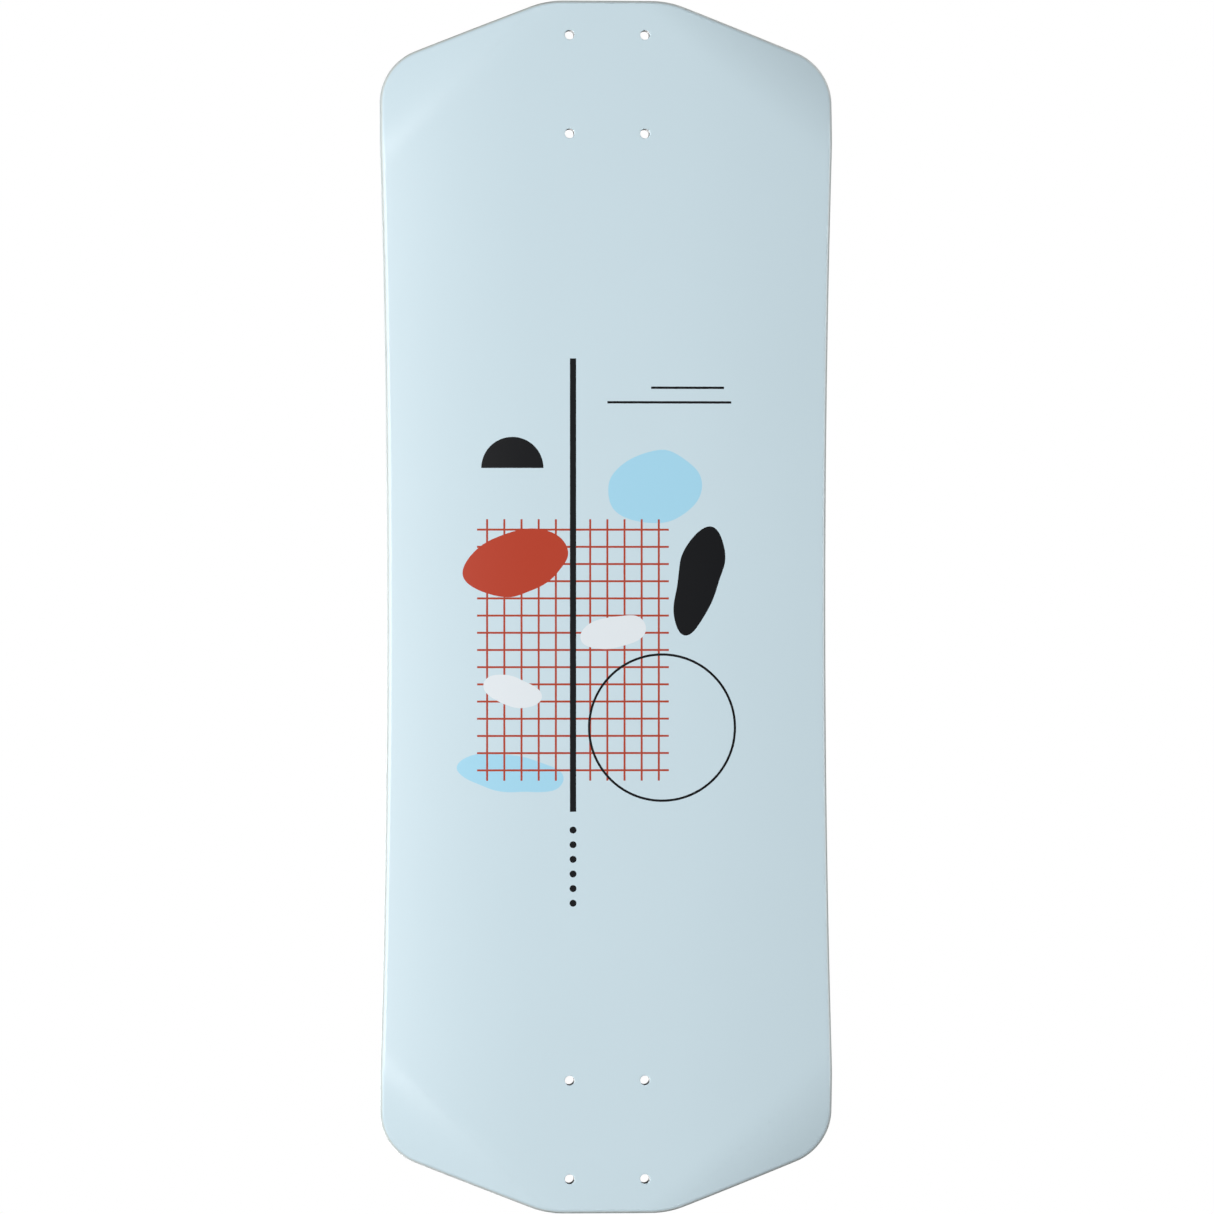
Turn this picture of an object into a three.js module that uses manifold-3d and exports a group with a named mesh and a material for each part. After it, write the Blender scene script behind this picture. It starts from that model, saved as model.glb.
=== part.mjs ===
// A longboard skateboard deck, bare of its trucks, in riding orientation.
// Millimetres. +Z points up out of the standing surface and +Y points to the nose.
// The origin is on the flat belly, in the middle of the deck, where it rests.
//
// The deck is a pressed sandwich: a printed bottom sheet, a glass fibre skin, a core of
// upright wooden staves framed by cast rails and end blocks, a second skin and grip tape.
// Every layer follows one height field, so the layers stay parallel through every bend.
import * as THREE from 'three';
import { mergeVertices } from 'three/addons/utils/BufferGeometryUtils.js';
import Module from 'manifold-3d';

const wasm = await Module();
wasm.setup();

// Plan outline, the same at nose and tail and on both sides
const LENGTH = 663.6;
const HALF_WIDTH = 124; // from the shoulders to where the waist begins
const WAIST_HALF = 120.2; // half the width at the middle of the deck
const WAIST_REACH = 255; // the waist's arc ends this far from the middle
const END_HALF = 33.6; // where the straight end meets the diagonal, before rounding
const SHOULDER_Y = 297.2; // where the diagonal meets the side, before rounding
const END_RADIUS = 50;
const SHOULDER_RADIUS = 30;
const ARC_STEPS = 4; // each arc is drawn with twice as many chords

// Truck bolt holes: two patterns of four, on the spacing that trucks share
const BOLT_ACROSS = 41.275;
const BOLT_ALONG = 53.975;
const PATTERN_Y = 286; // middle of each pattern
const HOLE_DIAMETER = 5.2;
const HOLE_SIDES = 16;

// Concave: a flat belly, sides that rise to the rails, and a flare at each corner
const NOSE_FLAT_HALF = 10; // half the width of the end edge that stays flat
const PAD_HALF = 27.5; // half the width that a truck's baseplate covers
const RAIL_START = 42;
const RAIL_LIFT = 5;
const FLARE_HEADING = THREE.MathUtils.degToRad(50); // from +X towards the nose
const FLARE_START = 264; // distance from the middle along the heading
const FLARE_RUN = 44;
const FLARE_LIFT = 11.4;

// Layers, from the belly up
const GLUE = 0.1;
const BOTTOM_SHEET = 0.6;
const SKIN = 1.1;
const CORE = 7;
const GRIP = 0.9;

// How far each layer stops inside the outline, which together round the rim
const BOTTOM_SHEET_INSET = 1.6;
const LOWER_SKIN_INSET = 0.5;
const UPPER_SKIN_INSET = 0.3;
const GRIP_INSET = 0.8;

// The frame around the core and the staves inside it
const RAIL_WIDTH = 8.3;
const STAVE_COUNT = 11; // odd, so that the bolt holes fall in the middle of a stave
const STAVE_PITCH = 21;

// Lines of the height field's grid, closer where the deck bends
const COLUMN_STEP = (HALF_WIDTH - RAIL_START) / 6;
const COLUMN_COUNT = 8;
const ROW_START = 227.5;
const ROW_STEP = 12.5;
const ROW_COUNT = 10;
const OVERCUT = 20; // how far a cutter reaches past what it cuts
const MERGE = 1e-4; // points closer than this are one point

const half = [NOSE_FLAT_HALF, PAD_HALF];
for (let i = 0; i < COLUMN_COUNT; i += 1) {
  half.push(RAIL_START + i * COLUMN_STEP);
}
const COLUMNS = [...half.map((x) => -x).reverse(), ...half];

const end = [];
for (let j = 0; j < ROW_COUNT; j += 1) {
  end.push(ROW_START + j * ROW_STEP);
}
const ROWS = [...end.map((y) => -y).reverse(), ...end];

// Height of the belly surface over the floor. The sides rise as the square of the
// distance past the flat belly, and each corner as the square of the distance past
// the flare's fold line, which crosses the corner at a slant.
function lift(x, y) {
  const rail = Math.max(0, Math.abs(x) - RAIL_START) / (HALF_WIDTH - RAIL_START);
  const along = Math.cos(FLARE_HEADING) * Math.abs(x) + Math.sin(FLARE_HEADING) * Math.abs(y);
  const flare = Math.max(0, along - FLARE_START) / FLARE_RUN;
  return RAIL_LIFT * rail ** 2 + FLARE_LIFT * flare ** 2;
}

// A closed solid from a geometry whose seams are merged
function solid(geometry) {
  geometry.deleteAttribute('normal');
  geometry.deleteAttribute('uv');
  const merged = mergeVertices(geometry, MERGE);
  return new wasm.Manifold(
    new wasm.Mesh({
      numProp: 3,
      vertProperties: new Float32Array(merged.attributes.position.array),
      triVerts: new Uint32Array(merged.index.array),
    }),
  );
}

// The plan outline moved inwards. It is ten arcs, which straight lines join: a waist,
// two shoulders and two ends on each side, taken anticlockwise from the right side.
function outline(inset) {
  const slant = Math.atan2(LENGTH / 2 - SHOULDER_Y, HALF_WIDTH - END_HALF);
  const normal = Math.PI / 2 - slant;
  const offset = Math.cos(normal) * END_HALF + Math.sin(normal) * (LENGTH / 2) - inset;
  const sideX = HALF_WIDTH - inset;
  const endY = LENGTH / 2 - inset;
  const shoulderY = (offset - Math.cos(normal) * sideX) / Math.sin(normal);
  const endX = (offset - Math.sin(normal) * endY) / Math.cos(normal);
  const shoulderR = SHOULDER_RADIUS - inset;
  const endR = END_RADIUS - inset;
  const shoulderCX = sideX - shoulderR;
  const shoulderCY = shoulderY - shoulderR * Math.tan(normal / 2);
  const endCX = endX - endR * Math.tan(slant / 2);
  const endCY = endY - endR;

  const sag = HALF_WIDTH - WAIST_HALF;
  const waistR = (WAIST_REACH ** 2 + sag ** 2) / (2 * sag);
  const waistCX = waistR + WAIST_HALF;
  const swing = Math.asin(WAIST_REACH / waistR);
  const halfTurn = Math.PI;

  const shape = new THREE.Shape();
  shape.absarc(waistCX, 0, waistR + inset, halfTurn + swing, halfTurn - swing, true);
  shape.absarc(shoulderCX, shoulderCY, shoulderR, 0, normal, false);
  shape.absarc(endCX, endCY, endR, normal, halfTurn / 2, false);
  shape.absarc(-endCX, endCY, endR, halfTurn / 2, halfTurn - normal, false);
  shape.absarc(-shoulderCX, shoulderCY, shoulderR, halfTurn - normal, halfTurn, false);
  shape.absarc(-waistCX, 0, waistR + inset, swing, -swing, true);
  shape.absarc(-shoulderCX, -shoulderCY, shoulderR, halfTurn, halfTurn + normal, false);
  shape.absarc(-endCX, -endCY, endR, halfTurn + normal, 1.5 * halfTurn, false);
  shape.absarc(endCX, -endCY, endR, 1.5 * halfTurn, 2 * halfTurn - normal, false);
  shape.absarc(shoulderCX, -shoulderCY, shoulderR, 2 * halfTurn - normal, 2 * halfTurn, false);
  return shape;
}

// An upright prism of the outline, tall enough to cut any layer
function prism(inset) {
  const depth = 4 * OVERCUT;
  const geometry = new THREE.ExtrudeGeometry(outline(inset), {
    depth,
    curveSegments: ARC_STEPS,
    bevelEnabled: false,
  });
  geometry.translate(0, 0, -OVERCUT);
  return solid(geometry);
}

// A sheet between two offsets of the height field, wider than the deck. Its two faces
// share one pattern of triangles, whose diagonals run along the flares' fold lines.
function slab(low, high) {
  const across = COLUMNS.length;
  const along = ROWS.length;
  const layer = across * along;
  const points = [];
  for (const offset of [low, high]) {
    for (const y of ROWS) {
      for (const x of COLUMNS) {
        points.push(x, y, lift(x, y) + offset);
      }
    }
  }

  const faces = [];
  const addTriangle = (p, q, r) => {
    faces.push(p + layer, q + layer, r + layer);
    faces.push(p, r, q);
  };
  for (let j = 0; j < along - 1; j += 1) {
    for (let i = 0; i < across - 1; i += 1) {
      const a = j * across + i;
      const b = a + 1;
      const c = b + across;
      const d = a + across;
      const sameSign = (COLUMNS[i] + COLUMNS[i + 1]) * (ROWS[j] + ROWS[j + 1]) > 0;
      addTriangle(a, b, sameSign ? d : c);
      addTriangle(sameSign ? b : a, c, d);
    }
  }

  const addWall = (p, q) => {
    faces.push(p, q, q + layer);
    faces.push(p, q + layer, p + layer);
  };
  for (let i = 0; i < across - 1; i += 1) {
    addWall(i, i + 1);
    addWall(layer - 1 - i, layer - 2 - i);
  }
  for (let j = 0; j < along - 1; j += 1) {
    addWall((j + 1) * across - 1, (j + 2) * across - 1);
    addWall((along - 1 - j) * across, (along - 2 - j) * across);
  }

  const geometry = new THREE.BufferGeometry();
  geometry.setAttribute('position', new THREE.Float32BufferAttribute(points, 3));
  geometry.setIndex(faces);
  return solid(geometry);
}

// The eight bolt holes as one cutter
function boltHoles() {
  const cutters = [];
  for (const pattern of [-1, 1]) {
    for (const row of [-1, 1]) {
      for (const column of [-1, 1]) {
        const radius = HOLE_DIAMETER / 2;
        const hole = new THREE.CylinderGeometry(radius, radius, 4 * OVERCUT, HOLE_SIDES);
        hole.rotateX(Math.PI / 2);
        hole.translate(
          (column * BOLT_ACROSS) / 2,
          pattern * PATTERN_Y + (row * BOLT_ALONG) / 2,
          OVERCUT,
        );
        cutters.push(solid(hole));
      }
    }
  }
  return cutters.reduce((all, cutter) => all.add(cutter));
}

// The part of a solid that lies between two positions across and along the deck
function between(body, x0, x1, y0, y1) {
  const box = new THREE.BoxGeometry(x1 - x0, y1 - y0, 8 * OVERCUT);
  box.translate((x0 + x1) / 2, (y0 + y1) / 2, 0);
  return body.intersect(solid(box));
}

const deck = new THREE.Group();

function addPart(name, body, look) {
  const mesh = body.getMesh();
  const geometry = new THREE.BufferGeometry();
  geometry.setAttribute('position', new THREE.Float32BufferAttribute(mesh.vertProperties, 3));
  geometry.setIndex(new THREE.Uint32BufferAttribute(mesh.triVerts, 1));
  geometry.computeVertexNormals();
  const part = new THREE.Mesh(geometry, new THREE.MeshStandardMaterial(look));
  part.name = name;
  deck.add(part);
}

const holes = boltHoles();
const reachX = HALF_WIDTH + OVERCUT;
const reachY = LENGTH / 2 + OVERCUT;

// Height at which each layer starts, with a glue line between neighbours
const lowerSkinLow = BOTTOM_SHEET + GLUE;
const coreLow = lowerSkinLow + SKIN + GLUE;
const upperSkinLow = coreLow + CORE + GLUE;
const gripLow = upperSkinLow + SKIN + GLUE;

function addLayer(name, low, thickness, inset, look) {
  addPart(name, slab(low, low + thickness).intersect(prism(inset)).subtract(holes), look);
}

// Bottom sheet and lower skin
const glass = { color: 0xc8d0ce, roughness: 0.35, metalness: 0 };
addLayer('bottom_sheet', 0, BOTTOM_SHEET, BOTTOM_SHEET_INSET, {
  color: 0xcfdde6,
  roughness: 0.22,
  metalness: 0,
});
addLayer('lower_fibre_skin', lowerSkinLow, SKIN, LOWER_SKIN_INSET, glass);

// Core: staves glued edge to edge, trimmed to the inside of the rails
const coreSlab = slab(coreLow, coreLow + CORE);
const coreBlank = coreSlab.intersect(prism(RAIL_WIDTH + GLUE)).subtract(holes);
for (let k = 0; k < STAVE_COUNT; k += 1) {
  const left = (k - STAVE_COUNT / 2) * STAVE_PITCH + GLUE / 2;
  const stave = between(coreBlank, left, left + STAVE_PITCH - GLUE, -reachY, reachY);
  addPart(`core_stave_${String(k + 1).padStart(2, '0')}`, stave, {
    color: k % 2 === 0 ? 0xd8b98a : 0xcfae7c,
    roughness: 0.6,
    metalness: 0,
  });
}

// Frame around the core: a rail on each side and a block round each end
const cast = { color: 0xb2bdc3, roughness: 0.4, metalness: 0 };
const frame = coreSlab.intersect(prism(0)).subtract(prism(RAIL_WIDTH));
const joint = WAIST_REACH + GLUE;
addPart('left_rail', between(frame, -reachX, 0, -WAIST_REACH, WAIST_REACH), cast);
addPart('right_rail', between(frame, 0, reachX, -WAIST_REACH, WAIST_REACH), cast);
addPart('nose_block', between(frame, -reachX, reachX, joint, reachY), cast);
addPart('tail_block', between(frame, -reachX, reachX, -reachY, -joint), cast);

// Upper skin and grip tape
addLayer('upper_fibre_skin', upperSkinLow, SKIN, UPPER_SKIN_INSET, glass);
addLayer('grip_tape', gripLow, GRIP, GRIP_INSET, {
  color: 0x1d1d1f,
  roughness: 0.95,
  metalness: 0,
});

export default deck;
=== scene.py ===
"""A longboard skateboard deck without its trucks, laid on a pale floor.

The deck is a pressed sandwich: a printed sheet, a glass fibre skin, a core of maple
staves framed by cast urethane, a second skin and grip tape. Every layer follows two
formulas, the plan outline and the lift, which is the height of the underside over the
floor. Shapes are worked out in millimetres and turned to metres as they reach a mesh.
"""

import math
from types import SimpleNamespace

import bpy
import numpy as np
from mathutils import Matrix, Vector


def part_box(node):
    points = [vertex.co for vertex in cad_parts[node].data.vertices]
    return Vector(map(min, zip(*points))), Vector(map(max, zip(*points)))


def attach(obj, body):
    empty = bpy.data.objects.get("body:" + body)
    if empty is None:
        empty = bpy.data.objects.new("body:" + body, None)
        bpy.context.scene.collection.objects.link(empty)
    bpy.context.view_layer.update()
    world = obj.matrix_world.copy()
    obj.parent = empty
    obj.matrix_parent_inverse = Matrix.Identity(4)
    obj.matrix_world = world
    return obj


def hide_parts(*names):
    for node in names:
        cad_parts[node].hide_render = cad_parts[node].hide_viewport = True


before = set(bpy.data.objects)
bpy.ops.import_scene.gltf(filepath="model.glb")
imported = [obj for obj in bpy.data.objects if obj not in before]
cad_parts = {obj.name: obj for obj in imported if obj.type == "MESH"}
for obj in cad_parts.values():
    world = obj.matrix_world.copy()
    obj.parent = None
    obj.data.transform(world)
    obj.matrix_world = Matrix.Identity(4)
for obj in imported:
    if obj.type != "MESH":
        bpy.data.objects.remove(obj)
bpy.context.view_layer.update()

bl_info = {
    "name": "Longboard Deck",
    "version": (1, 0, 0),
    "blender": (4, 5, 0),
    "location": "View3D > Sidebar > Deck",
    "description": "Builds a laminated longboard deck with its print, rails and grip tape",
    "category": "Add Mesh",
}

MM = 0.001
BODY = "root"
STAVES = sorted(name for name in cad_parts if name.startswith("core_stave"))
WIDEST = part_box("nose_block")[1] / MM  # the blocks hold the widest and furthest points


def linear(colour):
    """An sRGB hex colour as linear red, green and blue."""
    parts = [int(colour[i : i + 2], 16) / 255 for i in (1, 3, 5)]
    return tuple(c / 12.92 if c <= 0.04045 else ((c + 0.055) / 1.055) ** 2.4 for c in parts)


def length(name, description, millimetres):
    """A length property, kept in metres."""
    return bpy.props.FloatProperty(
        name=name,
        description=description,
        default=millimetres * MM,
        min=0,
        precision=4,
        subtype="DISTANCE",
    )


def colour(name, description, code):
    """A colour property whose default is an sRGB hex colour."""
    return bpy.props.FloatVectorProperty(
        name=name, description=description, default=linear(code), min=0, max=1, subtype="COLOR"
    )


class DeckSizes(bpy.types.PropertyGroup):
    """Sizes of the deck"""

    half_length: length("Half length", "From the middle to the nose", WIDEST.y)
    half_width: length("Half width", "From the middle to the widest side", WIDEST.x)
    waist_half: length("Half waist", "Half the width in the middle", 120.2)
    waist_reach: length("Waist reach", "Where the arc of the waist ends", 255.0)
    end_half: length("Half end", "Where the end would meet the diagonal", 33.6)
    shoulder_y: length("Shoulder", "Where the diagonal would meet the side", 297.2)
    end_radius: length("End radius", "Rounding at each end", 50.0)
    shoulder_radius: length("Shoulder radius", "Rounding at each shoulder", 30.0)
    rail_start: length("Rail start", "Half the width of the flat belly", 42.0)
    rail_lift: length("Rail lift", "Height of the sides over the belly", 5.0)
    flare_heading: bpy.props.FloatProperty(
        name="Flare heading",
        description="Way in which a corner rises, from straight across the deck",
        default=math.radians(50),
        subtype="ANGLE",
    )
    flare_start: length("Flare start", "Fold line's distance from the middle", 264.0)
    flare_run: length("Flare run", "Distance over which a corner rises", 44.0)
    flare_lift: length("Flare lift", "Height that a corner gains over that run", 11.4)
    sheet: length("Sheet", "Thickness of the printed sheet", 0.6)
    skin: length("Skin", "Thickness of each glass fibre skin", 1.1)
    core: length("Core", "Thickness of the staves and their frame", 7.0)
    grip: length("Grip", "Thickness of the grip tape", 0.9)
    glue: length("Glue", "Thickness of each glue line", 0.1)
    lower_round: length("Lower rounding", "Radius of the rim below", 2.4)
    upper_round: length("Upper rounding", "Radius of the rim above", 1.2)
    rail_width: length("Rail width", "Width of the cast rails and blocks", 8.3)
    hole_diameter: length("Hole diameter", "Diameter of a truck bolt hole", 5.2)
    bolt_across: length("Bolts across", "Bolt spacing across the deck", 41.275)
    bolt_along: length("Bolts along", "Bolt spacing along the deck", 53.975)
    pattern_y: length("Pattern", "From the middle to each bolt pattern", 286.0)


class DeckColours(bpy.types.PropertyGroup):
    """Colours of the print and of each layer"""

    ground: colour("Ground", "Ground of the printed sheet", "#d0e3eb")
    black: colour("Black ink", "Bars, rings and dark ovals", "#0e0f12")
    grid: colour("Red ink", "Lines of the grid", "#b3452f")
    orange: colour("Orange ink", "Large warm oval", "#ba412a")
    sky: colour("Blue ink", "Pale blue ovals", "#a9dcf2")
    white: colour("White ink", "Near-white ovals", "#e8eef2")
    sheet_edge: colour("Sheet edge", "Unprinted plastic at the sheet's edge", "#cfd9dc")
    glass: colour("Fibre skin", "Cured glass fibre laminate", "#c8d0ce")
    rail: colour("Rail", "Cast urethane", "#b2bdc3")
    grip: colour("Grip", "Backing of the grip tape", "#121213")


def sizes():
    """The sizes, with every length in millimetres."""
    group = bpy.context.scene.deck_sizes
    values = {}
    for prop in group.bl_rna.properties:
        if prop.type == "FLOAT":
            value = getattr(group, prop.identifier)
            values[prop.identifier] = value / MM if prop.unit == "LENGTH" else value
    return SimpleNamespace(**values)


def layers():
    """Heights of each layer's two faces over the underside. The layers are stacked with
    a glue line between neighbours."""
    s = sizes()
    spans = {}
    low = 0.0
    for name, thickness in (
        ("sheet", s.sheet),
        ("lower_skin", s.skin),
        ("core", s.core),
        ("upper_skin", s.skin),
        ("grip", s.grip),
    ):
        spans[name] = (low, low + thickness)
        low += thickness + s.glue
    return SimpleNamespace(**spans)


# Shape formulas ---------------------------------------------------------------------


def lift(x, y):
    """Height of the underside, in millimetres. The sides rise as the square of the
    distance past the flat belly. Each corner rises as the square of the distance past
    the flare's fold line, which is measured along the flare's heading."""
    s = sizes()
    rail = np.maximum(0, np.abs(x) - s.rail_start) / (s.half_width - s.rail_start)
    along = math.cos(s.flare_heading) * np.abs(x) + math.sin(s.flare_heading) * np.abs(y)
    flare = np.maximum(0, along - s.flare_start) / s.flare_run
    return s.rail_lift * rail**2 + s.flare_lift * flare**2


HOLE_HALF = 5.0  # half the side of the square patch around a hole
HOLE_STEPS = 8  # grid cells along that side, so a hole has four times as many chords
FIRST_CORNER = math.radians(-135)  # way from the hole to the patch's first corner
PAD_HALF = 27.5  # columns stay straight this far from the middle
END_NARROWING = 0.55  # share by which the straight middle closes up at the ends

# Grid cells in each stretch of the outline, from the middle of a side to the nose
WAIST_STEPS = 48
SIDE_STEPS = 5
SHOULDER_STEPS = 24
SLOPE_STEPS = 3
TIP_STEPS = 7
END_STEPS = 10
OUTWARD_STEPS = 31  # from the straight middle to the rim
RIM_COLUMN = 0.997  # an extra column just inside the rim


def arc(centre, radius, start, stop, steps):
    """Points of an arc, each with its outward normal: a point is the centre plus the
    radius times the normal."""
    turn = np.linspace(start, stop, steps + 1)
    normal = np.stack([np.cos(turn), np.sin(turn)], 1)
    return np.concatenate([np.array(centre) + radius * normal, normal], 1)


def side_rows():
    """Points of the right side from the middle to the nose, each with its outward normal.

    The waist is an arc whose sagitta is the difference of the two half widths. A
    straight side, a shoulder arc, a straight diagonal and an end arc follow. Rows are
    dense at the bolt holes, so that the squares around the holes fall on the grid."""
    s = sizes()
    slant = math.atan2(s.half_length - s.shoulder_y, s.half_width - s.end_half)
    tilt = math.pi / 2 - slant
    shoulder = (
        s.half_width - s.shoulder_radius,
        s.shoulder_y - s.shoulder_radius * math.tan(tilt / 2),
    )
    end = (s.end_half - s.end_radius * math.tan(slant / 2), s.half_length - s.end_radius)
    inner = s.pattern_y - s.bolt_along / 2
    outer = s.pattern_y + s.bolt_along / 2
    slope_start = shoulder[1] + s.shoulder_radius * math.sin(tilt)
    slope_end = end[1] + s.end_radius * math.sin(tilt)

    y = np.concatenate(
        [
            np.linspace(0, inner - HOLE_HALF, WAIST_STEPS + 1)[:-1],
            np.linspace(inner - HOLE_HALF, inner + HOLE_HALF, HOLE_STEPS + 1),
            np.linspace(inner + HOLE_HALF, shoulder[1], SIDE_STEPS + 1)[1:-1],
        ]
    )
    sag = s.half_width - s.waist_half
    waist_radius = (s.waist_reach**2 + sag**2) / (2 * sag)
    x = s.waist_half + waist_radius
    x = x - np.sqrt(waist_radius**2 - np.minimum(y, s.waist_reach) ** 2)
    lean = -np.where(y < s.waist_reach, y / waist_radius, 0)
    side = np.stack([x, y, np.cos(lean), np.sin(lean)], 1)

    y = np.concatenate(
        [
            np.linspace(slope_start, outer - HOLE_HALF, SLOPE_STEPS + 1)[1:-1],
            np.linspace(outer - HOLE_HALF, outer + HOLE_HALF, HOLE_STEPS + 1),
            np.linspace(outer + HOLE_HALF, slope_end, TIP_STEPS + 1)[1:-1],
        ]
    )
    share = (y - s.shoulder_y) / (s.half_length - s.shoulder_y)
    x = s.half_width + (s.end_half - s.half_width) * share
    normal = np.tile([math.cos(tilt), math.sin(tilt)], (len(y), 1))
    slope = np.concatenate([np.stack([x, y], 1), normal], 1)

    corner = arc(shoulder, s.shoulder_radius, 0, tilt, SHOULDER_STEPS)
    tip = arc(end, s.end_radius, tilt, math.pi / 2, END_STEPS)
    return np.concatenate([side, corner, slope, tip])


def plan():
    """Rows of the whole right side, from tail to nose, as x, y and normal."""
    front = side_rows()
    back = front[:0:-1] * np.array([1, -1, 1, -1])
    return np.concatenate([back, front])


def columns():
    """Two rows of numbers over the half width: where a column lies in the straight
    middle of the deck, and how far it goes from there to the rim, from 0 to 1."""
    hole = sizes().bolt_across / 2
    middle = np.concatenate(
        [
            np.linspace(0, hole - HOLE_HALF, SIDE_STEPS + 1)[:-1],
            np.linspace(hole - HOLE_HALF, hole + HOLE_HALF, HOLE_STEPS + 1),
            [PAD_HALF],
        ]
    )
    outward = np.append(np.linspace(0, 1, OUTWARD_STEPS + 1)[1:-1], [RIM_COLUMN, 1])
    inner = np.concatenate([middle, np.full(len(outward), PAD_HALF)])
    share = np.concatenate([np.zeros(len(middle)), outward])
    return inner, share


def face_grid(inset):
    """Plan positions of a face whose edge lies inset from the outline.

    Each row runs from rim to rim. A point past the straight middle is a mix of that
    middle's edge and of the rim point, which is the outline point moved back along its
    normal. Towards the ends the middle narrows and the rows close up by the inset."""
    s = sizes()
    rows = plan()
    inner, share = columns()
    past = np.maximum(0, np.abs(rows[:, 1]) - (s.pattern_y + s.bolt_along / 2 + HOLE_HALF))
    near_end = past / past.max()
    narrow = 1 - END_NARROWING * near_end
    rim_x = rows[:, 0] - inset * rows[:, 2]
    rim_y = rows[:, 1] - inset * rows[:, 3]
    middle_y = rows[:, 1] - inset * near_end * np.sign(rows[:, 1])
    x = (1 - share) * inner * narrow[:, None] + share * rim_x[:, None]
    y = (1 - share) * middle_y[:, None] + share * rim_y[:, None]
    x = np.concatenate([-x[:, :0:-1], x], 1)
    y = np.concatenate([y[:, :0:-1], y], 1)
    return x, y


def boundary(rows, across):
    """Indices of the grid's edge, once round, anticlockwise seen from above."""
    index = np.arange(rows * across).reshape(rows, across)
    return np.concatenate([index[:, -1], index[-1, -2::-1], index[-2::-1, 0], index[0, 1:-1]])


def boundary_normals(across):
    """Outward normals of those edge points, in the same order."""
    side = plan()[:, 2:]
    nose = np.tile([0.0, 1.0], (across - 2, 1))
    return np.concatenate([side, nose, side[::-1] * [-1, 1], -nose])


ROUND_SAMPLES = 60  # points on each quarter circle, between which the rim is read off

# Points up the rim of each kind of layer
SHEET_STEPS = 9
SKIN_STEPS = 6
CORE_STEPS = 12
GRIP_STEPS = 7


def rim_profile(low, high, steps):
    """Insets and heights of the rim between two heights. The whole rim is a quarter
    circle below, an upright line and a quarter circle above. It is sampled evenly by
    the length of that line."""
    s = sizes()
    turn = np.linspace(0, math.pi / 2, ROUND_SAMPLES)
    lower = np.stack([1 - np.sin(turn), 1 - np.cos(turn)], 1) * s.lower_round
    upper = np.stack([1 - np.cos(turn), np.sin(turn) - 1], 1) * s.upper_round
    line = np.concatenate([lower, upper + [0, layers().grip[1]]])
    walked = np.append(0, np.cumsum(np.hypot(*np.diff(line, axis=0).T)))
    ends = np.interp([low, high], line[:, 1], walked)
    at = np.linspace(*ends, steps)
    return np.stack([np.interp(at, walked, line[:, 0]), np.interp(at, walked, line[:, 1])], 1)


def strip(rings):
    """Quads between neighbouring closed rings of vertex indices."""
    rings = np.asarray(rings)
    following = np.roll(rings, -1, axis=1)
    return np.stack([rings[:-1], following[:-1], following[1:], rings[1:]], -1).reshape(-1, 4)


def hole_centres():
    """Plan positions of the eight bolt holes."""
    s = sizes()
    rows = [p * s.pattern_y + r * s.bolt_along / 2 for p in (-1, 1) for r in (-1, 1)]
    return [(c * s.bolt_across / 2, y) for y in rows for c in (-1, 1)]


DOWN, UP = -1, 1  # order of a quad's corners, which turns it to face down or up


class Shell:
    """The points and faces of a layer while it is put together"""

    def __init__(self):
        self.points = []
        self.faces = []
        self.count = 0

    def add(self, x, y, height):
        """Adds points at a height over the underside. Returns their indices, in the
        same arrangement as x."""
        indices = self.count + np.arange(x.size).reshape(x.shape)
        self.points.append(np.stack([x, y, lift(x, y) + height], -1).reshape(-1, 3))
        self.count += x.size
        return indices

    def add_face(self, inset, height):
        """Adds the grid of a face. Returns its plan positions and indices."""
        x, y = face_grid(inset)
        return SimpleNamespace(x=x, y=y, indices=self.add(x, y, height))


def close_rim(shell, faces, rim):
    """Joins the edges of the two faces by rings at the rim's points between them."""
    rows, across = faces[0].indices.shape
    edge = boundary(rows, across)
    normals = boundary_normals(across)
    x, y = (axis.ravel()[edge] for axis in face_grid(0))
    rings = [
        shell.add(x - inset * normals[:, 0], y - inset * normals[:, 1], height)
        for inset, height in rim[1:-1]
    ]
    first, last = (face.indices.ravel()[edge] for face in faces)
    shell.faces.append(strip([first, *rings, last]))


def hole_patch(face, centre):
    """The square of points around a hole, as slices of the rows and of the columns."""
    near = np.hypot(face.x - centre[0] + HOLE_HALF, face.y - centre[1] + HOLE_HALF)
    row, column = np.unravel_index(near.argmin(), near.shape)
    return slice(row, row + HOLE_STEPS + 1), slice(column, column + HOLE_STEPS + 1)


def once_round(patch):
    """The edge of a square patch, anticlockwise from its first corner."""
    return np.concatenate([patch[0, :-1], patch[:-1, -1], patch[-1, :0:-1], patch[:0:-1, 0]])


def drill(shell, faces, patch, centre, bore):
    """Lines a hole with rings at the bore's radii and heights. In each face, one more
    ring two thirds of the way from the square patch to the hole's circle fills the
    patch. The rings start at the patch's first corner."""
    chords = 4 * HOLE_STEPS
    angle = FIRST_CORNER + np.arange(chords) * math.tau / chords

    def circle(radius):
        return centre[0] + radius * np.cos(angle), centre[1] + radius * np.sin(angle)

    mouths = []
    for face, (radius, height), order in zip(faces, (bore[0], bore[-1]), (DOWN, UP)):
        x, y = circle(radius)
        square_x, square_y, square = (
            once_round(part[patch]) for part in (face.x, face.y, face.indices)
        )
        between = shell.add((square_x + 2 * x) / 3, (square_y + 2 * y) / 3, height)
        mouths.append(shell.add(x, y, height))
        shell.faces.append(strip([square, between, mouths[-1]])[:, ::order])
    walls = [shell.add(*circle(radius), height) for radius, height in bore[1:-1]]
    shell.faces.append(strip([mouths[0], *walls, mouths[1]])[:, ::-1])  # face the hole


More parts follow.
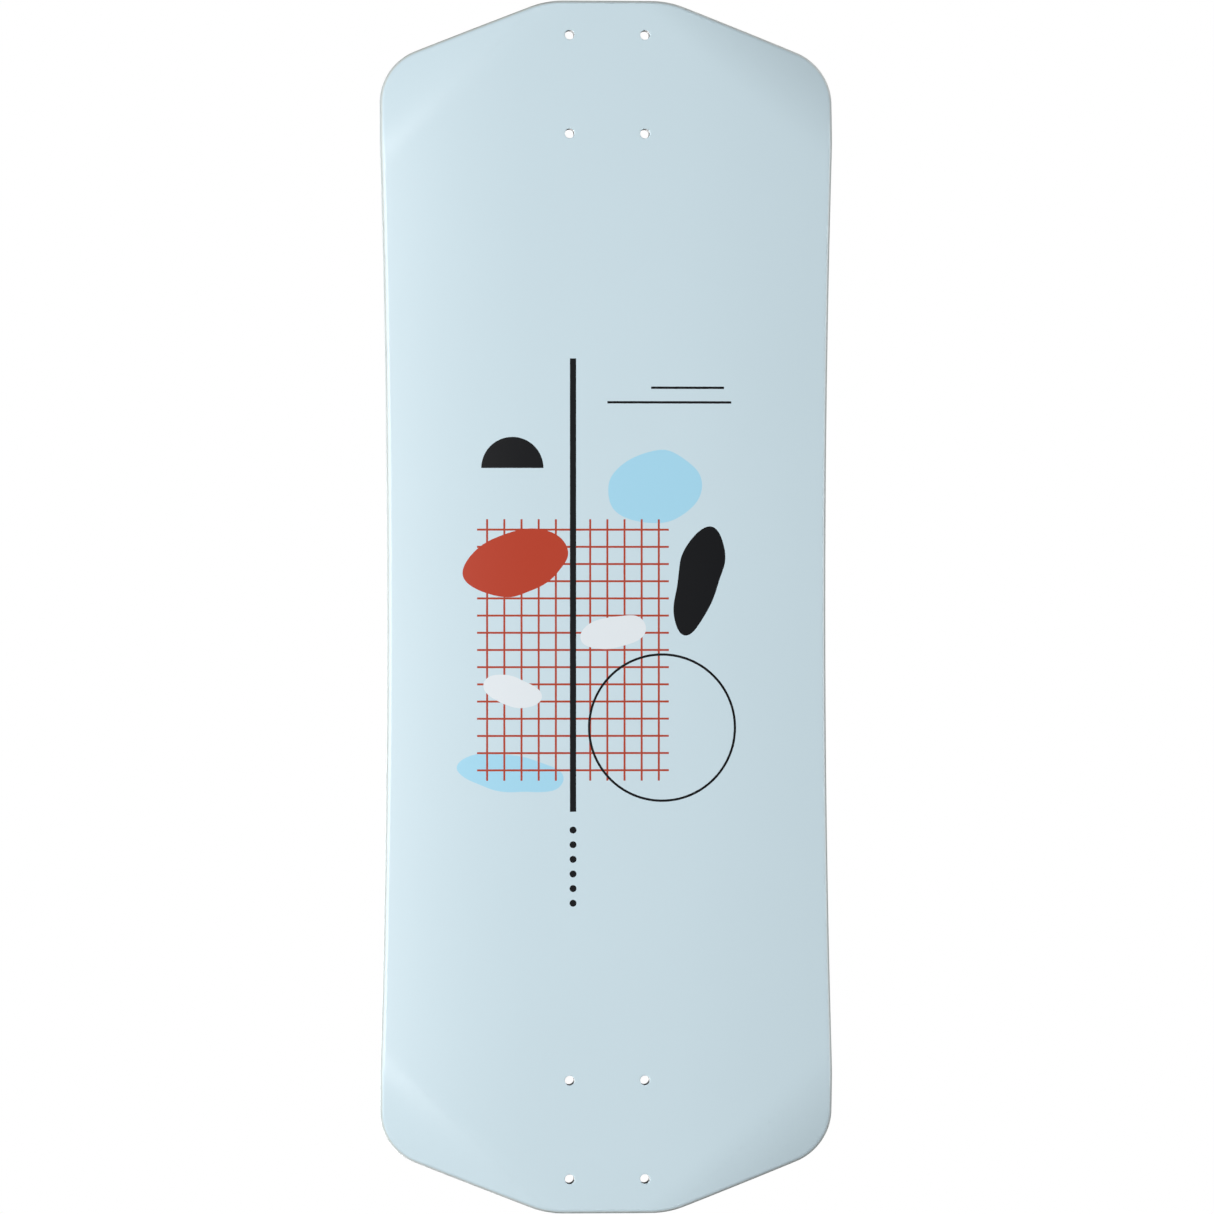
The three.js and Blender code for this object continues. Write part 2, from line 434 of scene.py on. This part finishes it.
def layer(name, rim, bore):
    """A sheet of the sandwich with its rounded rim and its bolt holes.

    rim holds insets and heights, and bore holds radii and heights, both from the lower
    face to the upper. The two faces are grids at the first and last rim point, and the
    cells around each hole are left out of them."""
    shell = Shell()
    faces = [shell.add_face(*rim[0]), shell.add_face(*rim[-1])]
    close_rim(shell, faces, rim)
    keep = np.ones(np.subtract(faces[0].indices.shape, 1), bool)
    for centre in hole_centres():
        patch = hole_patch(faces[0], centre)
        keep[tuple(slice(side.start, side.stop - 1) for side in patch)] = False
        drill(shell, faces, patch, centre, bore)
    for face, order in zip(faces, (DOWN, UP)):
        grid = face.indices
        quads = np.stack([grid[:-1, :-1], grid[:-1, 1:], grid[1:, 1:], grid[1:, :-1]], -1)
        shell.faces.append(quads[keep][:, ::order])
    return make_piece(name, np.concatenate(shell.points), np.concatenate(shell.faces))


def swept_bar(name, first, last, section):
    """A length of rail. section is a closed line of insets and heights, which is carried
    along the outline from one of its points to another, and both ends are capped."""
    x, y = face_grid(0)
    edge = boundary(*x.shape)
    order = np.arange(first, last + 1) % len(edge)
    line = np.stack([x.ravel()[edge], y.ravel()[edge]], 1)[order]
    normals = boundary_normals(x.shape[1])[order]
    inset, height = section[:, 0], section[:, 1]
    px = line[:, 0, None] - inset * normals[:, 0, None]
    py = line[:, 1, None] - inset * normals[:, 1, None]
    points = np.stack([px, py, lift(px, py) + height], -1).reshape(-1, 3)
    rings = np.arange(len(points)).reshape(px.shape)
    caps = [rings[0][::-1], rings[-1]]
    return make_piece(name, points, strip(rings)[:, ::-1], caps)


SHARP = math.radians(35)  # edges that bend more than this are shaded as edges


def make_piece(name, points, faces, caps=()):
    """A mesh object from points in millimetres. Points that no face uses are dropped."""
    used, packed = np.unique(faces, return_inverse=True)
    where = np.zeros(len(points), int)
    where[used] = np.arange(len(used))
    polygons = packed.reshape(faces.shape).tolist() + [where[cap].tolist() for cap in caps]
    kept = points[used]
    mesh = bpy.data.meshes.new(name)
    mesh.from_pydata((kept * MM).tolist(), [], polygons)
    mesh.polygons.foreach_set("use_smooth", np.ones(len(mesh.polygons), bool))
    mesh.set_sharp_from_angle(angle=SHARP)
    height = (kept[:, 2] - lift(kept[:, 0], kept[:, 1])).astype(np.float32)
    mesh.attributes.new("ply_height", "FLOAT", "POINT").data.foreach_set("value", height)
    piece = bpy.data.objects.new(name, mesh)
    bpy.context.scene.collection.objects.link(piece)
    return piece


def finish_piece(piece, material, node):
    """Gives a piece its material and its place in the frame, and hides the part it stands in for.
    """
    piece.data.materials.append(material)
    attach(piece, BODY)
    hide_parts(node)


# Materials --------------------------------------------------------------------------

# A pattern's scale is one over the size of its features, in millimetres.


def add(tree, kind, *inputs, **named):
    """Adds a node and returns it. Lower-case names are its settings, and capitalised
    names are its inputs. Values without a name fill its inputs in order. A node as a
    value stands for its first output in use."""
    node = tree.nodes.new("ShaderNode" + kind)
    for key, value in named.items():
        if key.islower():
            setattr(node, key, value)
    sockets = [socket for socket in node.inputs if socket.enabled]
    by_name = {socket.name.replace(" ", "_"): socket for socket in reversed(sockets)}
    filled = list(zip(sockets, inputs))
    filled += [(by_name[key], value) for key, value in named.items() if not key.islower()]
    for socket, value in filled:
        if isinstance(value, bpy.types.Node):
            value = next(output for output in value.outputs if output.enabled)
        if isinstance(value, bpy.types.NodeSocket):
            tree.links.new(value, socket)
        elif socket.type == "RGBA":
            socket.default_value = (*value[:3], 1)
        else:
            socket.default_value = value
    return node


def new_material(name):
    """A material with an empty tree, and its tree."""
    material = bpy.data.materials.new(name)
    material.use_nodes = True
    material.node_tree.nodes.clear()
    return material, material.node_tree


def object_millimetres(tree):
    """Object coordinates, in millimetres."""
    place = add(tree, "TexCoord").outputs["Object"]
    return add(tree, "VectorMath", place, operation="SCALE", Scale=1 / MM)


def tinted(shade, factor):
    """A linear colour made paler or deeper by a factor, and kept under white."""
    return tuple(min(1.0, channel * factor) for channel in shade[:3])


FLATTEN = 1e6  # divides the height away, so that a print shape depends on the plan only


def oval(tree, place, centre, half, tilt=0.0):
    """Mask of an oval: measured in half sizes, the distance from its centre is under 1."""
    local = add(
        tree,
        "Mapping",
        place,
        vector_type="TEXTURE",
        Location=(*centre, 0),
        Rotation=(0, 0, math.radians(tilt)),
        Scale=(*half, FLATTEN),
    )
    reach = add(tree, "VectorMath", local, operation="LENGTH")
    return add(tree, "Math", reach, 1.0, operation="LESS_THAN")


def bar(tree, place, centre, half):
    """Mask of a rectangle: measured in half sizes, the larger of the two distances from
    its centre is under 1."""
    local = add(
        tree,
        "Mapping",
        place,
        vector_type="TEXTURE",
        Location=(*centre, 0),
        Scale=(*half, FLATTEN),
    )
    size = add(tree, "VectorMath", local, operation="ABSOLUTE")
    parts = add(tree, "SeparateXYZ", size).outputs
    larger = add(tree, "Math", parts["X"], parts["Y"], operation="MAXIMUM")
    return add(tree, "Math", larger, 1.0, operation="LESS_THAN")


def ring(tree, place, centre, radius, line):
    """Mask of a thin ring: an oval without the smaller oval inside it."""
    outer, inner = (radius + line / 2,) * 2, (radius - line / 2,) * 2
    disc = oval(tree, place, centre, outer)
    return add(tree, "Math", disc, oval(tree, place, centre, inner), operation="SUBTRACT")


def half_disc(tree, place, centre, radius):
    """Mask of the upper half of a disc: the disc times the rectangle over its middle."""
    upper = bar(tree, place, (centre[0], centre[1] + radius / 2), (radius, radius / 2))
    disc = oval(tree, place, centre, (radius, radius))
    return add(tree, "Math", upper, disc, operation="MULTIPLY")


def grid_lines(tree, place, centre, half, pitch, line):
    """Mask of a square grid inside a rectangle: the distance to the nearest line, which
    rises and falls between 0 and half the pitch, is under half a line."""
    local = add(tree, "VectorMath", place, (*centre, 0), operation="SUBTRACT")
    parts = add(tree, "SeparateXYZ", local).outputs
    masks = []
    for axis in (parts["X"], parts["Y"]):
        nearest = add(tree, "Math", axis, pitch / 2, operation="PINGPONG")
        masks.append(add(tree, "Math", nearest, line / 2, operation="LESS_THAN"))
    lines = add(tree, "Math", *masks, operation="MAXIMUM")
    return add(tree, "Math", lines, bar(tree, place, centre, half), operation="MULTIPLY")


CUT_STRAY = 5.0  # how far the edge of an oval wanders, in millimetres from end to end
CUT_WAVE = 38.0  # millimetres between its bends
SPINE = -18.8  # the grid, the long bar and the dots are centred on this line
GRID_PITCH = 9.4
GRID_LINE = 1.1
RING_LINE = 1.3
THIN_HALF = 0.65  # half the width of the two thin lines
DOTS = 6
FIRST_DOT = -122.0
DOT_PITCH = 8.0
DOT_RADIUS = 1.9


def draw_print(tree, place, ground):
    """The printed graphic, painted from the ground up. Positions are in millimetres, to
    the right and up as the underside is looked at with the nose at the top. The ovals'
    edges wander a little, as paper shapes cut by hand do."""
    c = bpy.context.scene.deck_colours
    wave = add(tree, "TexNoise", place, Scale=1 / CUT_WAVE, Detail=1.0).outputs["Color"]
    pull = add(tree, "VectorMath", wave, (0.5, 0.5, 0.5), operation="SUBTRACT")
    stray = add(tree, "VectorMath", pull, operation="SCALE", Scale=2 * CUT_STRAY)
    cut = add(tree, "VectorMath", place, stray, operation="ADD")
    paint = ground
    for ink, mask in (
        (c.sky, oval(tree, cut, (26, 66), (25, 20), 12)),
        (c.sky, oval(tree, cut, (-54, -92), (29, 10), -6)),
        (c.grid, grid_lines(tree, place, (SPINE, -23.5), (52.5, 71.5), GRID_PITCH, GRID_LINE)),
        (c.orange, oval(tree, cut, (-50, 24), (29, 17), 14)),
        (c.black, bar(tree, place, (SPINE, 12), (1.7, 124))),
        (c.black, ring(tree, place, (30, -66), 40, RING_LINE)),
        (c.black, half_disc(tree, place, (-52, 76), 17)),
        (c.black, oval(tree, cut, (50, 14), (12, 30), -14)),
        (c.black, bar(tree, place, (34, 112), (34, THIN_HALF))),
        (c.black, bar(tree, place, (44, 120), (20, THIN_HALF))),
        (c.white, oval(tree, cut, (4, -14), (18, 9), 8)),
        (c.white, oval(tree, cut, (-52, -46), (16, 8.5), -10)),
    ):
        paint = add(tree, "Mix", mask, paint, ink, data_type="RGBA")
    for number in range(DOTS):
        centre = (SPINE, FIRST_DOT - DOT_PITCH * number)
        dot = oval(tree, place, centre, (DOT_RADIUS, DOT_RADIUS))
        paint = add(tree, "Mix", dot, paint, c.black, data_type="RGBA")
    return paint


WEAVE_PITCH = 2.6  # millimetres between tows of the glass cloth
WAVE_UNIT = math.tau / 20  # a wave texture's scale for one band in each millimetre
PRINT_EDGE = 0.18  # millimetres up the rim at which sanding starts to take the ink away
UNEVEN = 0.012  # share by which the dye's ground is paler or deeper


def printed_sheet_material():
    """Dye-printed thermoplastic sheet under a sprayed clear coat. The coat gives a soft
    reflection, and keeps a faint orange peel and the ghost of the woven glass under it.
    The sheet bends light nearly as the coat does, so little is reflected between them and
    the inks look deep. The dye's ground is very slightly uneven, and the sanded edge
    shows the plain plastic."""
    c = bpy.context.scene.deck_colours
    material, tree = new_material("Dye-printed sheet, clear-coated")
    place = object_millimetres(tree)
    seen = add(tree, "Mapping", place, Scale=(-1, 1, 1))
    cloud = add(tree, "TexNoise", place, Scale=1 / 90, Detail=2.0)
    deep, pale = tinted(c.ground, 1 - UNEVEN), tinted(c.ground, 1 + UNEVEN)
    ground = add(tree, "Mix", cloud, deep, pale, data_type="RGBA")
    printed = draw_print(tree, seen, ground)
    height = add(tree, "Attribute", attribute_name="ply_height").outputs["Fac"]
    sanded = add(tree, "MapRange", height, PRINT_EDGE, 2 * PRINT_EDGE, 0, 1)
    base = add(tree, "Mix", sanded, printed, c.sheet_edge, data_type="RGBA")

    weave = [
        add(
            tree,
            "TexWave",
            place,
            bands_direction=axis,
            Scale=WAVE_UNIT / WEAVE_PITCH,
            Distortion=1.2,
            Detail=1.0,
            Detail_Scale=0.4,
        ).outputs["Fac"]
        for axis in "XY"
    ]
    ghost = add(tree, "Math", *weave, operation="MULTIPLY")
    droplets = add(tree, "TexNoise", place, Scale=1 / 2.4, Detail=1.0)
    peel = add(tree, "Bump", Height=droplets, Distance=0.012 * MM)
    telegraph = add(tree, "Bump", Height=ghost, Distance=0.006 * MM, Normal=peel)
    satin = add(tree, "TexNoise", place, Scale=1 / 30, Detail=2.0)
    shader = add(
        tree,
        "BsdfPrincipled",
        Base_Color=base,
        Roughness=add(tree, "MapRange", satin, 0.3, 0.7, 0.38, 0.42),
        Normal=telegraph,
        IOR=1.49,
        Specular_IOR_Level=0.1,
        Coat_Weight=1.0,
        Coat_Roughness=0.25,
    )
    add(tree, "OutputMaterial", shader)
    return material


BORE_SHADE_REACH = 0.6  # millimetres beyond a bore's wall over which its painted shade fades


def painted_bore_shade(tree, place, base):
    """The base colour with painted shade, dark on the walls of the eight bolt bores where
    the holes are in shadow. Folding the plan twice lays every bore on one, which
    leaves the distance to the nearest bore's axis."""
    s = sizes()
    folded = add(tree, "VectorMath", place, operation="ABSOLUTE")
    folded = add(tree, "VectorMath", folded, (0, s.pattern_y, 0), operation="SUBTRACT")
    folded = add(tree, "VectorMath", folded, operation="ABSOLUTE")
    bore = (s.bolt_across / 2, s.bolt_along / 2, 0)
    folded = add(tree, "VectorMath", folded, bore, operation="SUBTRACT")
    folded = add(tree, "VectorMath", folded, (1, 1, 0), operation="MULTIPLY")
    away = add(tree, "VectorMath", folded, operation="LENGTH").outputs["Value"]
    wall = s.hole_diameter / 2
    share = add(tree, "MapRange", away, wall, wall + BORE_SHADE_REACH, 1, 0)
    # painted shade: the bore walls are darkened to near black, standing in for the shadow inside
    # the holes
    return add(tree, "Mix", share, base, linear("#14181b"), data_type="RGBA")


PLY = 0.28  # millimetres per ply of glass


def laminate_material():
    """Woven glass fibre in cured epoxy, sanded at the rim. The plies show as fine lines
    along the edge, a little darker where resin fills between them, and the cut ends of
    the tows give a broken, satin surface. The bolt bores' walls carry painted shade."""
    c = bpy.context.scene.deck_colours
    material, tree = new_material("Glass fibre laminate, sanded")
    place = object_millimetres(tree)
    height = add(tree, "Attribute", attribute_name="ply_height").outputs["Fac"]
    plies = add(tree, "Math", height, PLY / 2, operation="PINGPONG")
    resin = add(tree, "MapRange", plies, 0, PLY / 2, 0.45, 0)
    tows = add(tree, "TexNoise", place, Scale=1 / 1.6, Detail=2.0)
    fibre = add(tree, "Mix", tows, tinted(c.glass, 0.92), tinted(c.glass, 1.12), data_type="RGBA")
    base = add(tree, "Mix", resin, fibre, tinted(c.glass, 0.6), data_type="RGBA")
    # the base colour carries painted shade on the bolt bores' walls
    shader = add(
        tree,
        "BsdfPrincipled",
        Base_Color=painted_bore_shade(tree, place, base),
        Roughness=add(tree, "MapRange", tows, 0.3, 0.7, 0.34, 0.55),
        Normal=add(tree, "Bump", Height=tows, Distance=0.03 * MM),
        IOR=1.54,
    )
    add(tree, "OutputMaterial", shader)
    return material


STREAK_ALONG = 0.06  # scale of the sanding streaks along the rim
STREAK_UP = 4.0  # and up the rim


def cast_material():
    """Cast urethane, pale and slightly translucent in life, sanded to a satin roundover.
    Sanding leaves fine streaks along the rim, and the casting is faintly cloudy."""
    c = bpy.context.scene.deck_colours
    material, tree = new_material("Cast urethane, sanded")
    place = object_millimetres(tree)
    height = add(tree, "Attribute", attribute_name="ply_height").outputs["Fac"]
    parts = add(tree, "SeparateXYZ", place).outputs
    flat = add(tree, "CombineXYZ", parts["X"], parts["Y"])
    stretched = add(tree, "VectorMath", flat, operation="SCALE", Scale=STREAK_ALONG)
    stretched = add(tree, "SeparateXYZ", stretched).outputs
    rise = add(tree, "Math", height, STREAK_UP, operation="MULTIPLY")
    along = add(tree, "CombineXYZ", stretched["X"], stretched["Y"], rise)
    streaks = add(tree, "TexNoise", along, Scale=1.0, Detail=3.0, Roughness=0.6)
    cloud = add(tree, "TexNoise", place, Scale=1 / 18, Detail=2.0)
    cloudy = add(tree, "Mix", cloud, tinted(c.rail, 0.9), tinted(c.rail, 1.0), data_type="RGBA")
    share = add(tree, "MapRange", streaks, 0.3, 0.7, 0, 0.5)
    base = add(tree, "Mix", share, cloudy, tinted(c.rail, 1.12), data_type="RGBA")
    shader = add(
        tree,
        "BsdfPrincipled",
        Base_Color=base,
        Roughness=add(tree, "MapRange", streaks, 0.3, 0.7, 0.36, 0.52),
        Normal=add(tree, "Bump", Height=streaks, Distance=0.02 * MM),
        IOR=1.5,
    )
    add(tree, "OutputMaterial", shader)
    return material


RING_PITCH = 3.0  # millimetres between growth rings
STAVE_STEP = np.array([37.0, 211.0, 13.0])  # from one stave's place in the board to the next
GRAIN_ALONG = 0.03  # scale of the wood's figure along the deck, where it is 1 across


def maple_material(number):
    """Planed hard maple, one stave's worth. Growth rings run along the deck as soft
    bands with fine pores between them, and each stave is cut from its own place in the
    board. The bolt bores' walls carry painted shade."""
    material, tree = new_material(f"Planed maple {number:02d}")
    place = object_millimetres(tree)
    board = add(
        tree,
        "Mapping",
        place,
        Location=tuple(number * STAVE_STEP),
        Scale=(1, GRAIN_ALONG, 1),
    )
    rings = add(
        tree,
        "TexWave",
        board,
        bands_direction="X",
        Scale=WAVE_UNIT / RING_PITCH,
        Distortion=4.0,
        Detail=2.0,
        Detail_Scale=0.3,
    ).outputs["Fac"]
    pores = add(tree, "TexNoise", board, Scale=2.0, Detail=2.0)
    wood = add(tree, "Mix", rings, linear("#dcc197"), linear("#c39c68"), data_type="RGBA")
    share = add(tree, "MapRange", pores, 0.5, 0.8, 0, 0.35)
    wood = add(tree, "Mix", share, wood, linear("#8f6a40"), data_type="RGBA")
    # the base colour carries painted shade on the bolt bores' walls
    shader = add(
        tree,
        "BsdfPrincipled",
        Base_Color=painted_bore_shade(tree, place, wood),
        Roughness=add(tree, "MapRange", rings, 0, 1, 0.5, 0.66),
        Normal=add(tree, "Bump", Height=pores, Distance=0.05 * MM),
    )
    add(tree, "OutputMaterial", shader)
    return material


GRAIN = 0.9  # millimetres between grains, about twice the real grit, so that they show
FILED = 0.45  # millimetres down the grip's edge over which filing has greyed it


def grip_material():
    """Silicon carbide grit on a black backing film. The grains are sharp and dark; a few
    glossier ones are paler, a painted glint. The glue between them is darker still, and the
    sheet carries a trace of grey dust from handling. Its cut edge is filed smooth and has turned
    grey."""
    c = bpy.context.scene.deck_colours
    material, tree = new_material("Silicon carbide grit on film")
    place = object_millimetres(tree)
    height = add(tree, "Attribute", attribute_name="ply_height").outputs["Fac"]
    top = layers().grip[1]
    filed = add(tree, "MapRange", height, top, top - FILED, 0, 0.5)
    grains = add(tree, "TexVoronoi", place, Scale=1 / GRAIN)
    shade = add(tree, "SeparateColor", grains.outputs["Color"]).outputs
    crown = add(tree, "MapRange", grains.outputs["Distance"], 0.05, 0.6, 1, 0)
    stone = add(
        tree, "Mix", shade["Red"], linear("#151517"), linear("#3c3c41"), data_type="RGBA"
    )
    base = add(tree, "Mix", crown, c.grip, stone, data_type="RGBA")
    # painted glint: a few random grains get a paler colour, and below they also get less
    # roughness
    glinting_grain = add(tree, "MapRange", shade["Green"], 0.92, 1.0, 0, 0.4)
    base = add(tree, "Mix", glinting_grain, base, linear("#606268"), data_type="RGBA")
    cloud = add(tree, "TexNoise", place, Scale=1 / 55, Detail=4.0, Roughness=0.6)
    dust = add(tree, "MapRange", cloud, 0.45, 0.75, 0, 0.07)
    grey = add(tree, "Math", dust, filed, operation="MAXIMUM")
    shader = add(
        tree,
        "BsdfPrincipled",
        Base_Color=add(tree, "Mix", grey, base, linear("#8d8b88"), data_type="RGBA"),
        Roughness=add(tree, "MapRange", glinting_grain, 0, 0.4, 0.85, 0.55),
        Normal=add(tree, "Bump", Height=crown, Distance=0.25 * MM),
    )
    add(tree, "OutputMaterial", shader)
    return material


FADE_START = 500.0  # millimetres from the middle at which the floor starts to fade
FADE_END = 4500.0  # and at which it is as white as the walls


def floor_material():
    """Matt painted studio board, pale and barely mottled. It fades into the white walls
    away from the deck. It is painted on its upper face only and clear from below, so
    that the underside of what lies on it shows."""
    material, tree = new_material("Matt painted board")
    place = object_millimetres(tree)
    cloud = add(tree, "TexNoise", place, Scale=1 / 400, Detail=3.0)
    paint = add(
        tree,
        "BsdfPrincipled",
        Base_Color=add(
            tree, "Mix", cloud, linear("#eceded"), linear("#f2f2f1"), data_type="RGBA"
        ),
        Roughness=0.85,
    )
    reach = add(tree, "VectorMath", place, operation="LENGTH")
    fade = add(
        tree, "MapRange", reach, FADE_START, FADE_END, interpolation_type="SMOOTHSTEP"
    )
    above = add(tree, "MixShader", fade, paint, add(tree, "Emission", (1, 1, 1), 1.0))
    below = add(tree, "NewGeometry").outputs["Backfacing"]
    clear = add(tree, "BsdfTransparent")
    add(tree, "OutputMaterial", add(tree, "MixShader", below, above, clear))
    return material


# Operators --------------------------------------------------------------------------

EDGE_BREAK = 0.35  # millimetres by which the mouth of each hole is broken
MOUTH_STEPS = 5  # points on the rounding of that mouth
GRIP_BREAK = 0.25  # millimetres by which the punched grip tape opens outward


class DECK_OT_printed_sheet(bpy.types.Operator):
    """Build the printed bottom sheet with its bolt holes"""

    bl_idname = "deck.printed_sheet"
    bl_label = "Printed Sheet"

    def execute(self, context):
        radius = sizes().hole_diameter / 2
        span = layers().sheet
        turn = np.linspace(0, math.pi / 2, MOUTH_STEPS)
        mouth = EDGE_BREAK * np.stack([1 - np.sin(turn), 1 - np.cos(turn)], 1) + [radius, 0]
        bore = np.concatenate([mouth, [(radius, span[1])]])
        piece = layer("printed_sheet", rim_profile(*span, SHEET_STEPS), bore)
        piece.visible_diffuse = False  # the light from below doesn't spill on the floor
        finish_piece(piece, printed_sheet_material(), "bottom_sheet")
        return {"FINISHED"}


class DECK_OT_fibre_skins(bpy.types.Operator):
    """Build the two glass fibre skins"""

    bl_idname = "deck.fibre_skins"
    bl_label = "Fibre Skins"

    def execute(self, context):
        radius = sizes().hole_diameter / 2
        material = laminate_material()
        for name, node, span in (
            ("lower_skin", "lower_fibre_skin", layers().lower_skin),
            ("upper_skin", "upper_fibre_skin", layers().upper_skin),
        ):
            bore = [(radius, height) for height in span]
            piece = layer(name, rim_profile(*span, SKIN_STEPS), bore)
            finish_piece(piece, material, node)
        return {"FINISHED"}


class DECK_OT_cast_frame(bpy.types.Operator):
    """Build the rails along the sides and the blocks round nose and tail"""

    bl_idname = "deck.cast_frame"
    bl_label = "Rails and End Blocks"

    def execute(self, context):
        s = sizes()
        span = layers().core
        material = cast_material()
        inner = [(s.rail_width, span[1]), (s.rail_width, span[0])]
        section = np.concatenate([rim_profile(*span, CORE_STEPS), inner])
        x, y = face_grid(0)
        edge = boundary(*x.shape)
        x, y = x.ravel()[edge], y.ravel()[edge]
        on_side = np.abs(y) <= s.waist_reach
        right = np.flatnonzero(on_side & (x > 0))
        left = np.flatnonzero(on_side & (x < 0))
        for name, node, first, last in (
            ("right_side_rail", "right_rail", right[0], right[-1]),
            ("nose_cap", "nose_block", right[-1], left[0]),
            ("left_side_rail", "left_rail", left[0], left[-1]),
            ("tail_cap", "tail_block", left[-1], right[0] + len(edge)),
        ):
            piece = swept_bar(name, first, last, section)
            finish_piece(piece, material, node)
        return {"FINISHED"}


class DECK_OT_core_staves(bpy.types.Operator):
    """Give every stave of the core its own planed maple"""

    bl_idname = "deck.core_staves"
    bl_label = "Core Staves"

    def execute(self, context):
        for number, node in enumerate(STAVES, 1):
            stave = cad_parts[node]
            stave.data.materials.clear()
            stave.data.materials.append(maple_material(number))
        return {"FINISHED"}


class DECK_OT_grip_tape(bpy.types.Operator):
    """Build the grip tape over the standing surface"""

    bl_idname = "deck.grip_tape"
    bl_label = "Grip Tape"

    def execute(self, context):
        radius = sizes().hole_diameter / 2
        low, high = layers().grip
        bore = [(radius, low), (radius, high - EDGE_BREAK), (radius + GRIP_BREAK, high)]
        piece = layer("grip_sheet", rim_profile(low, high, GRIP_STEPS), bore)
        finish_piece(piece, grip_material(), "grip_tape")
        return {"FINISHED"}


CAMERA_DISTANCE = 4.048  # metres, a long lens well back from the deck
CAMERA_TURN = math.radians(3.2)  # round the deck's long axis, towards +X
CAMERA_AIM = Vector((0.2, 0, 0)) * MM
SENSOR = 36.0  # millimetres
LENS = 219.44  # millimetres

FLOOR_HALF = 12.0  # metres from the floor's middle to each side
FLOOR_DROP = 0.6 * MM  # the floor lies this far under the belly
DECK_MIDDLE = Vector((0, 0, 6)) * MM

# Each light's size and place in metres and its power in watts. The key below stands well
# to one side, so that the clear coat reflects it away from the camera, and two low
# lights graze the rails.
LIGHTS = {
    "key_below": ((1.4, 1.6), (1.36, 0, -1.73), 48),
    "right_rail_light": ((1.8, 0.7), (2.17, 0, -0.38), 16),
    "left_rail_light": ((1.8, 1.0), (-2.1, 0, -0.66), 24),
    "key_above": ((5.0, 5.0), (2.7, -2.4, 7.2), 540),
    "rim_above": ((2.4, 0.8), (-1.6, 1.8, 1.2), 24),
}
ROOM_GLOW = 0.1  # strength of the even light from all round, where the walls are 1


class DECK_OT_studio(bpy.types.Operator):
    """Lay the deck on a pale floor, light it softly and set the camera under it"""

    bl_idname = "deck.studio"
    bl_label = "Studio"

    def execute(self, context):
        scene = context.scene
        scene.view_settings.view_transform = "Standard"
        self.add_floor(scene)
        for name, (size, place, power) in LIGHTS.items():
            self.add_light(scene, name, size, place, power)
        self.add_room(scene)
        self.add_camera(scene)
        return {"FINISHED"}

    def add_floor(self, scene):
        """A square board, which lets light pass to the underside of the deck."""
        mesh = bpy.data.meshes.new("floor")
        around = FLOOR_HALF * np.array([(-1, -1), (1, -1), (1, 1), (-1, 1)])
        corners = [(x, y, -FLOOR_DROP) for x, y in around.tolist()]
        mesh.from_pydata(corners, [], [(0, 1, 2, 3)])
        mesh.materials.append(floor_material())
        floor = bpy.data.objects.new("floor", mesh)
        floor.visible_shadow = False
        floor.visible_diffuse = False
        floor.visible_glossy = False
        scene.collection.objects.link(floor)

    def add_light(self, scene, name, size, place, power):
        """A soft rectangular light that points at the deck."""
        lamp = bpy.data.lights.new(name, "AREA")
        lamp.shape = "RECTANGLE"
        lamp.size, lamp.size_y = size
        lamp.energy = power
        light = bpy.data.objects.new(name, lamp)
        light.location = place
        heading = DECK_MIDDLE - Vector(place)
        light.rotation_euler = heading.to_track_quat("-Z", "Y").to_euler()
        light.visible_camera = False
        scene.collection.objects.link(light)

    def add_room(self, scene):
        """White walls for the camera, and a dim even glow for the deck."""
        world = bpy.data.worlds.new("studio")
        world.use_nodes = True
        tree = world.node_tree
        tree.nodes.clear()
        seen = add(tree, "LightPath").outputs["Is Camera Ray"]
        wall = add(tree, "Background", (1, 1, 1), 1.0)
        glow = add(tree, "Background", linear("#eef3f8"), ROOM_GLOW)
        add(tree, "OutputWorld", add(tree, "MixShader", seen, glow, wall))
        scene.world = world

    def add_camera(self, scene):
        """A long lens under the deck, which looks up with the nose at the top."""
        lens = bpy.data.cameras.new("camera")
        lens.lens = LENS
        lens.sensor_width = SENSOR
        lens.clip_end = 100
        camera = bpy.data.objects.new("camera", lens)
        back = Vector((math.sin(CAMERA_TURN), 0, -math.cos(CAMERA_TURN)))
        up = Vector((0, 1, 0))
        turn = Matrix((up.cross(back), up, back)).transposed()
        place = Matrix.Translation(CAMERA_AIM + back * CAMERA_DISTANCE)
        camera.matrix_world = place @ turn.to_4x4()
        scene.collection.objects.link(camera)
        scene.camera = camera


STEPS = (
    DECK_OT_printed_sheet,
    DECK_OT_fibre_skins,
    DECK_OT_cast_frame,
    DECK_OT_core_staves,
    DECK_OT_grip_tape,
    DECK_OT_studio,
)


class DECK_PT_panel(bpy.types.Panel):
    """Lists the steps, sizes and colours"""

    bl_idname = "DECK_PT_panel"
    bl_label = "Longboard Deck"
    bl_space_type = "VIEW_3D"
    bl_region_type = "UI"
    bl_category = "Deck"

    def draw(self, context):
        for step in STEPS:
            self.layout.operator(step.bl_idname)
        for group in (context.scene.deck_sizes, context.scene.deck_colours):
            box = self.layout.box()
            for prop in group.bl_rna.properties:
                if prop.type == "FLOAT":
                    box.prop(group, prop.identifier)


CLASSES = (DeckSizes, DeckColours, *STEPS, DECK_PT_panel)


def register():
    """Registers the classes and hangs the two groups of properties on the scene."""
    for item in CLASSES:
        bpy.utils.register_class(item)
    bpy.types.Scene.deck_sizes = bpy.props.PointerProperty(type=DeckSizes)
    bpy.types.Scene.deck_colours = bpy.props.PointerProperty(type=DeckColours)


def unregister():
    """Undoes register."""
    del bpy.types.Scene.deck_colours
    del bpy.types.Scene.deck_sizes
    for item in reversed(CLASSES):
        bpy.utils.unregister_class(item)


def main():
    """Runs every step in order."""
    register()
    for step in STEPS:
        group, name = step.bl_idname.split(".")
        getattr(getattr(bpy.ops, group), name)()


if __name__ == "__main__":
    main()
